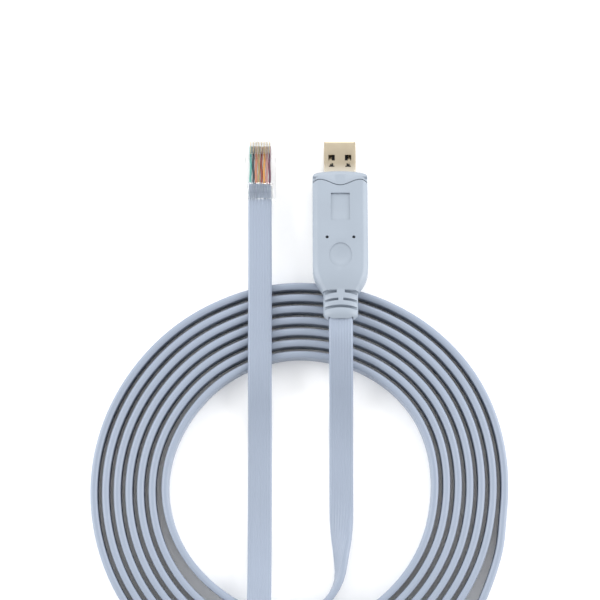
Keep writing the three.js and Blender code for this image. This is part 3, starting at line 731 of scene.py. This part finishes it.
class CONSOLE_OT_cable(Operator):
    """Lays the flat cable from the hood round the coil and into the modular plug"""

    bl_idname = "console.cable"
    bl_label = "Flat cable"
    bl_options = {"REGISTER", "UNDO"}

    def execute(self, context):
        settings = context.scene.console_cable
        keys = [*USB_END, *coil_points(settings), *PLUG_END]
        rings = cable_rings(keys, RING_STEP)
        cable = sweep("flat_cable", rings, cable_section(settings))
        # The jacket's end is cut a little slanted.
        last = len(rings) - 1
        count = len(cable_section(settings))
        middle, across, up = rings[last]
        along = across.cross(up)
        for j in range(count):
            point = cable.data.vertices[last * count + j]
            point.co += along * END_SLANT * (point.co - middle).dot(across)
        smooth(cable, 60)
        nodes = ("cable_coil", "cable_usb_end", "cable_rj45_end")
        set_down(cable, Matrix.Scale(MM, 4), *nodes, slot="jacket_pvc", material=extruded_pvc(settings))
        cable["route"] = [c * MM for ring in rings for c in ring[0]]
        return {"FINISHED"}


WAVE_LOW, WAVE_HIGH, WAVE_CREST = -6.7, -4.3, 7.7


def wave(x):
    """Place along the hood of the wavy seam between its front and its body."""
    return WAVE_LOW + (WAVE_HIGH - WAVE_LOW) * (1 - math.cos(math.pi * x / WAVE_CREST)) / 2


# Half width and half thickness of the hood where it runs in to the strain relief.
SHOULDERS = [
    (-39.6, 10.25, 4.6),
    (-41.6, 10, 4.58),
    (-43.4, 9.45, 4.46),
    (-44.9, 8.75, 4.27),
    (-46.3, 7.95, 3.95),
    (-47.4, 7.2, 3.6),
    (-48.2, 6.6, 3.3),
]
# Slots of the strain relief: from the hood, length, and width of the bridge in the middle.
RELIEF_SLOTS = [(0.1, 1.2, 2.9), (3.35, 1.0, 1.8), (6.1, 1.15, 0)]
# Tip of the strain relief: from its end, and its share of the full width and thickness there.
RELIEF_TIP = [(1.9, 1, 0.97), (1.2, 0.95, 0.88), (0.5, 0.83, 0.72), (0, 0.745, 0.61)]
RELIEF_HALF_WIDTH, RELIEF_HALF_THICKNESS = 6.4, 3.35
RELIEF_SLOT_FLOOR = 1.2  # level at which its slots end
RELIEF_BOW, REAR_BOW = 0.5, 0.45  # how far its rows and the hood's rear end bow back at their ends
MOUTH_HALF_WIDTH, MOUTH_HALF_HEIGHT, MOUTH_DEPTH = 4.52, 1.62, 0.8


def hood_body(settings):
    """The hood without its strain relief: rounded and arched at the front, crowned on its broad faces, with
    a slanted band along its edges."""
    w, l, t = settings.width / MM / 2, settings.length / MM, settings.thickness / MM / 2
    band, crown, arch, corner = settings.band / MM, 0.35, 1.2, 2.4
    flat = t - crown

    def rim(edge):
        level = abs(edge.verts[0].co.z - edge.verts[1].co.z) < 0.01
        at_relief = all(v.co.y < -l + 0.01 for v in edge.verts)
        return bend_of(edge) > 1.2 and level and not at_relief

    hood = block("moulded_hood", (-w, -l, -flat), (w, 0, flat))
    edit(hood)
    pick(hood, "EDGE", lambda e: all(v.co.y > -0.01 and abs(v.co.x) > w - 0.01 for v in e.verts))
    bpy.ops.mesh.bevel(offset=corner, segments=7, affect="EDGES")
    pick(hood, "EDGE", rim)
    bpy.ops.mesh.bevel(offset=band, segments=1, affect="EDGES")
    pick(hood, "EDGE", lambda e: 0.6 < bend_of(e) < 1.0)
    bpy.ops.mesh.bevel(offset=0.38, segments=3, affect="EDGES")
    slice_at(0, -7.4, -6, -4.5, -3, -1.5, 0, 1.5, 3, 4.5, 6, 7.4)
    slice_at(1, -12, -20, -28, -36, *[y for y, _, _ in SHOULDERS if y > -l])
    shift_along(hood, lambda v: v.co.y > -3.9, lambda x: -arch * (x / w) ** 2)
    for x in levels(hood, 0, lambda v: abs(v.co.z) > flat - 0.01):
        for side in (-1, 1):
            pick(hood, "VERT", lambda v: side * v.co.z > flat - 0.01 and abs(abs(v.co.x) - x) < 0.006)
            rise = crown * max(0, 1 - (x / (w - band)) ** 2)
            bpy.ops.transform.translate(value=(0, 0, side * rise))
    for y, half_width, half_thickness in SHOULDERS:
        pick(hood, "VERT", lambda v: abs(v.co.y - y) < 0.01)
        bpy.ops.transform.resize(
            value=(half_width / w, 1, half_thickness / t), center_override=(0, y, 0)
        )
    # Its rear end is bowed with the strain relief's rows.
    shift_along(
        hood, lambda v: v.co.y < -l + 0.01, lambda x: -REAR_BOW * (x / RELIEF_HALF_WIDTH) ** 2
    )
    done()
    return hood


def strain_relief(settings):
    """An oval collar with rows of slots above and below, bowed like its end, and a tip that runs in to the
    cable round a shallow mouth."""
    start = -settings.length / MM
    end = start - settings.relief / MM
    half_width, half_thickness = RELIEF_HALF_WIDTH, RELIEF_HALF_THICKNESS
    root = start + 1.6
    relief = rod(
        "relief", (0, (root + end) / 2, 0), (half_width, half_thickness), root - end, "Y", 72
    )
    edit(relief)
    slice_at(1, *[start - d for slot in RELIEF_SLOTS for d in (slot[0], slot[0] + slot[1])])
    slice_at(1, *[end + from_end for from_end, _, _ in RELIEF_TIP if from_end])
    bridges = [slot[2] / 2 for slot in RELIEF_SLOTS if slot[2]]
    slice_at(0, *sorted(side * x for x in bridges for side in (-1, 1)))
    for away, length, bridge in RELIEF_SLOTS:
        for side in (-1, 1):
            for half in (-1, 1) if bridge else (0,):

                def in_slot(face):
                    x, y, z = face.calc_center_median()
                    beside_bridge = half * x > bridge / 2 - 0.01 if half else True
                    along = start - away - length < y < start - away
                    return along and side * z > RELIEF_SLOT_FLOOR and beside_bridge

                pick(relief, "FACE", in_slot)
                bpy.ops.mesh.extrude_region_move(
                    TRANSFORM_OT_translate={"value": (0, 0, -side * 0.2)}
                )
                bpy.ops.transform.resize(
                    value=(1, 1, 0), center_override=(0, 0, side * RELIEF_SLOT_FLOOR)
                )
    for from_end, sx, sz in RELIEF_TIP:
        y = end + from_end
        pick(relief, "VERT", lambda v: abs(v.co.y - y) < 0.01)
        bpy.ops.transform.resize(value=(sx, 1, sz), center_override=(0, y, 0))
    for x in levels(relief, 0):
        pick(
            relief, "VERT",
            lambda v: end + 2.5 < v.co.y < start + 1 and abs(abs(v.co.x) - x) < 0.006,
        )
        bpy.ops.transform.translate(value=(0, -RELIEF_BOW * (x / half_width) ** 2, 0))
    done()
    soften(relief, 0.13, 2, 50)
    mouth = block(
        "mouth",
        (-MOUTH_HALF_WIDTH, end - 2, -MOUTH_HALF_HEIGHT),
        (MOUTH_HALF_WIDTH, end + MOUTH_DEPTH, MOUTH_HALF_HEIGHT),
    )
    combine(relief, mouth)
    return relief


# On the hood's upper face, in millimetres from its front and its middle.
PLATE = (-3.55, 3.6, -20.9, -9.9)  # left, right, rear and front of the recessed plate
PLATE_DEPTH, CHANNEL_DEPTH = 0.6, 0.9
LAMP_X, LAMP_Y = 4.95, -27.8
DISH_Y, DISH_RADII = -34.9, (4.3, 4.8)


class CONSOLE_OT_hood(Operator):
    """Models the moulded hood of the USB plug with its slotted strain relief"""

    bl_idname = "console.hood"
    bl_label = "Moulded hood"
    bl_options = {"REGISTER", "UNDO"}

    def execute(self, context):
        settings = context.scene.usb_plug
        w, t = settings.width / MM / 2, settings.thickness / MM / 2
        hood = hood_body(settings)
        # The wavy seam all round: a thin wavy slab is taken out down to a slightly smaller core.
        only(hood)
        bpy.ops.object.duplicate()
        core = bpy.context.object
        edit(core)
        bpy.ops.mesh.select_all(action="SELECT")
        bpy.ops.transform.resize(
            value=((w - 0.6) / w, 0.97, (t - 0.6) / t), center_override=(0, -24, 0)
        )
        done()
        slab = block("seam", (-w - 1, -0.2, -t - 1), (w + 1, 0.2, t + 1))
        edit(slab)
        slice_at(0, *[x * 0.6 for x in range(-18, 19)])
        shift_along(slab, lambda v: True, wave)
        done()
        combine(hood, slab)
        combine(hood, core, "UNION")
        combine(hood, strain_relief(settings), "UNION")
        # The bare recessed plate, with a deeper channel at its front.
        left, right, rear, front = PLATE
        plate = block("plate", (left, rear, t - PLATE_DEPTH), (right, front, t + 1))
        soften(plate, 0.12, 2, 60)
        combine(hood, plate)
        channel = block(
            "channel", (left + 0.15, front - 0.4, t - CHANNEL_DEPTH), (right - 0.05, front, t + 1)
        )
        combine(hood, channel)
        # The thumb dish: an oval step with a hollow in it.
        step = rod("step", (0, DISH_Y, t + 0.8), DISH_RADII, 2.36, "Z", 72)
        soften(step, 0.12, 3, 60)
        combine(hood, step)
        bpy.ops.object.select_all(action="DESELECT")
        bpy.ops.mesh.primitive_uv_sphere_add(
            segments=96, ring_count=64, radius=1, location=(0, DISH_Y, t + 5.25), scale=(9, 10, 6),
        )
        combine(hood, fresh("dish"))
        smooth(hood, 33)
        # Lamp holes, each with a small countersink and a dark lamp at its bottom.
        pvc, epoxy = moulded_pvc(settings), lamp_well()
        hood.data.materials.append(pvc)
        for side, name in ((-1, "lamp_left"), (1, "lamp_right")):
            x, y = side * LAMP_X, LAMP_Y
            combine(hood, rod("hole", (x, y, t), (0.6, 0.6), 3.4, "Z", 32))
            bpy.ops.object.select_all(action="DESELECT")
            bpy.ops.mesh.primitive_cone_add(
                vertices=32, radius1=0.3, radius2=1.1, depth=0.8, location=(x, y, t + 0.15)
            )
            combine(hood, fresh("sink"))
            lamp = rod(name, (x, y, t - 1.2), (0.58, 0.58), 0.8, "Z", 32)
            soften(lamp, 0.15, 2, 60)
            smooth(lamp)
            set_down(lamp, in_plug(USB_PLACE, USB_PITCH), material=epoxy)
        # The pocket that the shell comes out of.
        pocket = block("pocket", (-6.2, -2, -2.45), (6.2, 1, 2.45))
        soften(pocket, 0.8, 3, 60)
        combine(hood, pocket)
        smooth(hood, 33)
        set_down(
            hood, in_plug(USB_PLACE, USB_PITCH), "usb_housing", slot="hood_pvc", material=pvc
        )
        return {"FINISHED"}


# Openings on each side of the shell's middle: half width, and their rear and front end from the tip.
OPENINGS_X = 3.1
WINDOW, LATCH_SLOT, LATCH_BRIM = (1.2, 8, 5.6), (0.6, 10.6, 9.1), (1.05, 10.6, 10.1)


class CONSOLE_OT_shell(Operator):
    """Folds the metal shell of the USB plug and finishes the insulator and contacts inside it"""

    bl_idname = "console.shell"
    bl_label = "USB shell"
    bl_options = {"REGISTER", "UNDO"}

    def execute(self, context):
        settings = context.scene.usb_plug
        tip = settings.shell_length / MM
        shell = block("folded_shell", (-6, -4.8, -2.25), (6, tip, 2.25))
        edit(shell)
        pick(shell, "FACE", lambda f: abs(f.normal.y) > 0.9)
        bpy.ops.mesh.delete(type="FACE")
        pick(shell, "EDGE", lambda e: abs(e.verts[0].co.y - e.verts[1].co.y) > 1)
        bpy.ops.mesh.bevel(offset=0.7, segments=5, affect="EDGES")
        # The rim is pressed in a little so that the plug finds its socket.
        slice_at(1, tip - 0.75, tip - 0.35)
        for y, sx, sz in ((tip - 0.35, 1, 0.985), (tip, 0.99, 0.925)):
            pick(shell, "VERT", lambda v: abs(v.co.y - y) < 0.01)
            bpy.ops.transform.resize(value=(sx, 1, sz), center_override=(0, y, 0))
        bpy.ops.mesh.select_all(action="SELECT")
        bpy.ops.mesh.normals_make_consistent(inside=False)
        done()
        wall = shell.modifiers.new("wall", "SOLIDIFY")
        wall.thickness = 0.32
        wall.offset = -1
        only(shell)
        bpy.ops.object.modifier_apply(modifier=wall.name)
        for x in (-OPENINGS_X, OPENINGS_X):
            half, rear, front = WINDOW
            window = block("window", (x - half, tip - rear, -3), (x + half, tip - front, 3))
            soften(window, 0.15, 2, 60)
            combine(shell, window)
            for half, rear, front in (LATCH_SLOT, LATCH_BRIM):
                combine(shell, block("slot", (x - half, tip - rear, 0), (x + half, tip - front, 3)))
        # The joint of the folded strip, under the plug.
        combine(shell, block("joint", (-0.05, -6, -3), (0.05, tip + 1, -1)))
        smooth(shell, 30)
        set_down(
            shell, in_plug(USB_PLACE, USB_PITCH), "usb_shell", slot="gold_plate",
            material=plated_steel(settings),
        )
        plastic, gold = black_insulator(), contact_gold()
        for name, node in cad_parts.items():
            if name.startswith("usb_contact") or name == "usb_tongue":
                node.data.materials.clear()
                node.data.materials.append(plastic if name == "usb_tongue" else gold)
        return {"FINISHED"}


CORES = [
    ("teal", "56a69c"),
    ("navy", "26323e"),
    ("clay", "cd8468"),
    ("ochre", "b89b66"),
    ("rust", "8f3a2c"),
    ("amber", "dc9c48"),
    ("rose", "c08a86"),
    ("plum", "672c48"),
]


def place_of(index, pitch):
    """Place across the plug of one of the eight cores and blades."""
    return (index - (len(CORES) - 1) / 2) * pitch


# How far the latch hangs below the body, from the plug's nose.
LATCH_DROPS = [(16, -1.45), (9.5, -0.86), (9.2, -0.83), (2.6, -0.3)]


class CONSOLE_OT_plug(Operator):
    """Models the clear body of the modular plug, with its cavity, comb and latch"""

    bl_idname = "console.plug"
    bl_label = "Clear plug"
    bl_options = {"REGISTER", "UNDO"}

    def execute(self, context):
        settings = context.scene.modular_plug
        w, l, h = settings.width / MM / 2, settings.length / MM, settings.height / MM
        step, nose = 0.35, 7
        body = block("clear_plug", (-w + step, 0, 0), (w - step, l, h))
        edit(body)
        slice_at(1, l - nose)
        for side in (-1, 1):
            pick(body, "FACE", lambda f: side * f.normal.x > 0.9 and f.calc_center_median().y < l - nose)
            bpy.ops.mesh.extrude_region_move(TRANSFORM_OT_translate={"value": (side * step, 0, 0)})
        done()
        soften(body, 0.22, 2, 60)
        latch = block("latch", (-3, l - 16, -0.95), (3, l - 0.6, -0.05))
        edit(latch)
        slice_at(1, l - 2.6, l - 9.5, l - 9.2)
        for from_nose, drop in LATCH_DROPS:
            pick(latch, "VERT", lambda v: abs(v.co.y - l + from_nose) < 0.01)
            bpy.ops.transform.translate(value=(0, 0, drop))
        for y in (l - 16, l - 9.5):
            pick(latch, "VERT", lambda v: abs(v.co.y - y) < 0.01)
            bpy.ops.transform.resize(value=(2 / 3, 1, 1), center_override=(0, y, 0))
        pick(latch, "VERT", lambda v: v.co.y > l - 2.7 and v.co.z > -0.4)
        bpy.ops.transform.translate(value=(0, 0, 0.35))
        done()
        soften(latch, 0.12, 2, 50)
        combine(body, latch, "UNION")
        # The rear cavity for the jacket, flared at its mouth, and the channel for the eight cores.
        cavity = block("cavity", (-4.7, -1, 1.8), (4.7, 6.6, 5))
        soften(cavity, 0.6, 3, 60)
        combine(body, cavity)
        reach = 3.5 * settings.pitch / MM + settings.core / MM / 2 + 0.25
        channel = block("channel", (-reach, 6.1, 2.87), (reach, l - 1.4, 3.93))
        combine(body, channel)
        for i in range(len(CORES)):
            x = place_of(i, settings.pitch / MM)
            combine(body, block("slot", (x - 0.26, l - 6.2, 3.4), (x + 0.26, l + 1, h + 1)))
        # The recesses pressed in over the cores and over the jacket.
        for y0, y1 in ((15.5, 17.7), (2.4, 6)):
            recess = block("recess", (-4.3, y0, h - 0.9), (4.3, y1, h + 1))
            soften(recess, 0.2, 2, 60)
            combine(body, recess)
        smooth(body, 30)
        set_down(
            body, in_plug(PLUG_PLACE, PLUG_PITCH), "rj45_body", slot="clear_polycarbonate",
            material=clear_polycarbonate(settings),
        )
        return {"FINISHED"}


class CONSOLE_OT_cores(Operator):
    """Lays the eight insulated cores and stands the contact blades on them"""

    bl_idname = "console.cores"
    bl_label = "Cores and blades"
    bl_options = {"REGISTER", "UNDO"}

    def execute(self, context):
        settings = context.scene.modular_plug
        pitch, radius, l = settings.pitch / MM, settings.core / MM / 2, settings.length / MM
        matrix = in_plug(PLUG_PLACE, PLUG_PITCH)
        section = [
            (radius * math.cos(math.radians(a)), radius * math.sin(math.radians(a)))
            for a in range(0, 360, 24)
        ]
        across, up = Vector((1, 0, 0)), Vector((0, 0, 1))
        for i, (name, hexes) in enumerate(CORES):
            x = place_of(i, pitch)
            rings = []
            for step in range(37):
                y = 6.35 + (l - 2 - 6.35) * step / 36
                loose = ease((19 - y) / 4) * ease((y - 6) / 3)
                lean = 0.11 * math.sin(0.62 * y + 2.1 * i) * loose
                rings.append((Vector((x + lean, y, 3.4)), across, up))
            core = sweep(f"core_{i + 1}", rings, [(a, -b) for a, b in section])
            smooth(core, 60)
            set_down(
                core, matrix, f"rj45_wire_{i + 1}", slot=f"core_{name}",
                material=core_insulation(name, hexes),
            )
        # One blade, notched in the middle of its top, with two teeth, then a copy for each core.
        end = l - 0.5
        blade = block("blade", (-0.17, end - 4.6, 3.95), (0.17, end, 6.2))
        edit(blade)
        slice_at(1, end - 2.9, end - 2.7, end - 2.1, end - 1.9)
        pick(blade, "VERT", lambda v: end - 2.75 < v.co.y < end - 2.05 and v.co.z > 6)
        bpy.ops.transform.translate(value=(0, 0, -0.55))
        pick(blade, "EDGE", lambda e: all(v.co.z > 6 and v.co.y > end - 0.01 for v in e.verts))
        bpy.ops.mesh.bevel(offset=0.5, segments=4, affect="EDGES")
        done()
        soften(blade, 0.04, 1, 60)
        smooth(blade)
        gold = contact_gold()
        for i in range(len(CORES)):
            only(blade)
            bpy.ops.object.duplicate()
            copy = bpy.context.object
            copy.name = copy.data.name = f"blade_{i + 1}"
            copy.data.transform(Matrix.Translation((place_of(i, pitch), 0, 0)))
            set_down(copy, matrix, f"rj45_contact_{i + 1}", slot="contact_gold", material=gold)
        bpy.data.objects.remove(blade)
        return {"FINISHED"}


class CONSOLE_OT_cord(Operator):
    """Takes the stored route off the cable again; the pieces at its plug end are listed, but nothing uses
    the list
    """

    bl_idname = "console.cord"
    bl_label = "Cord facts"
    bl_options = {"REGISTER", "UNDO"}

    def execute(self, context):
        cable = bpy.data.objects["flat_cable"]
        del cable["route"]
        on_it = ["clear_plug"]
        on_it += [f"core_{i + 1}" for i in range(8)] + [f"blade_{i + 1}" for i in range(8)]
        return {"FINISHED"}


class CONSOLE_OT_stage(Operator):
    """Sets the floor, the soft lights and the camera"""

    bl_idname = "console.stage"
    bl_label = "Stage"
    bl_options = {"REGISTER", "UNDO"}

    def execute(self, context):
        settings = context.scene.console_stage
        scene = context.scene
        bpy.ops.object.select_all(action="DESELECT")
        bpy.ops.mesh.primitive_plane_add(size=4, location=(0, 0, 0))
        floor = fresh("floor")
        floor.data.materials.append(matt_floor(settings))

        middle = Vector((-2.225, -24.6, 0)) * MM
        rise = settings.elevation
        back = Vector((0, -math.cos(rise), math.sin(rise)))
        view = bpy.data.cameras.new("view")
        view.sensor_width = 36
        view.lens = 18 / (settings.across / 2 / settings.distance)
        view.clip_start, view.clip_end = 0.05, 20
        camera = bpy.data.objects.new("view", view)
        camera.location = middle + back * settings.distance
        camera.rotation_euler = (math.pi / 2 - rise, 0, 0)
        scene.collection.objects.link(camera)
        scene.camera = camera

        # Broad soft lights left, right and behind the object, low enough to brighten rounded edges.
        lamps = [
            ("light_left", (-1.0, 0.0, 0.45), 0.9, 11.0),
            ("light_right", (1.0, 0.05, 0.45), 0.9, 12.0),
            ("light_back", (0.0, 1.1, 0.4), 0.9, 6.5),
        ]
        for name, place, side, watts in lamps:
            light = bpy.data.lights.new(name, "AREA")
            light.shape = "SQUARE"
            light.size = side
            light.energy = watts
            lamp = bpy.data.objects.new(name, light)
            lamp.location = place
            lamp.rotation_mode = "QUATERNION"
            lamp.rotation_quaternion = (middle - Vector(place)).to_track_quat("-Z", "Y")
            scene.collection.objects.link(lamp)

        studio = bpy.data.worlds.new("studio")
        studio.use_nodes = True
        studio.node_tree.nodes["Background"].inputs["Color"].default_value = (1, 1, 1, 1)
        studio.node_tree.nodes["Background"].inputs["Strength"].default_value = 0.98
        scene.world = studio
        scene.view_settings.view_transform = "Standard"
        return {"FINISHED"}


class CONSOLE_PT_panel(Panel):
    """Lists the pieces and the sizes and colours of the cable"""

    bl_idname = "CONSOLE_PT_panel"
    bl_label = "Console cable"
    bl_space_type = "VIEW_3D"
    bl_region_type = "UI"
    bl_category = "Console cable"

    def draw(self, context):
        scene = context.scene
        for title, group in GROUPS:
            column = self.layout.column(align=True)
            column.label(text=title)
            settings = getattr(scene, group)
            for name in settings.__annotations__:
                column.prop(settings, name)
        column = self.layout.column(align=True)
        for operator in PIECES:
            column.operator(operator.bl_idname)


GROUPS = [
    ("Cable", "console_cable"),
    ("USB plug", "usb_plug"),
    ("Modular plug", "modular_plug"),
    ("Stage", "console_stage"),
]
SETTINGS = [CableSettings, UsbSettings, PlugSettings, StageSettings]
PIECES = [
    CONSOLE_OT_stage,
    CONSOLE_OT_cable,
    CONSOLE_OT_hood,
    CONSOLE_OT_shell,
    CONSOLE_OT_plug,
    CONSOLE_OT_cores,
    CONSOLE_OT_cord,
]


def register():
    for made in (*SETTINGS, *PIECES, CONSOLE_PT_panel):
        bpy.utils.register_class(made)
    for (_, group), made in zip(GROUPS, SETTINGS):
        setattr(bpy.types.Scene, group, PointerProperty(type=made))


def unregister():
    for _, group in GROUPS:
        delattr(bpy.types.Scene, group)
    for made in reversed((*SETTINGS, *PIECES, CONSOLE_PT_panel)):
        bpy.utils.unregister_class(made)


def main():
    register()
    bpy.ops.console.stage()
    bpy.ops.console.cable()
    bpy.ops.console.hood()
    bpy.ops.console.shell()
    bpy.ops.console.plug()
    bpy.ops.console.cores()
    bpy.ops.console.cord()


if __name__ == "__main__":
    main()
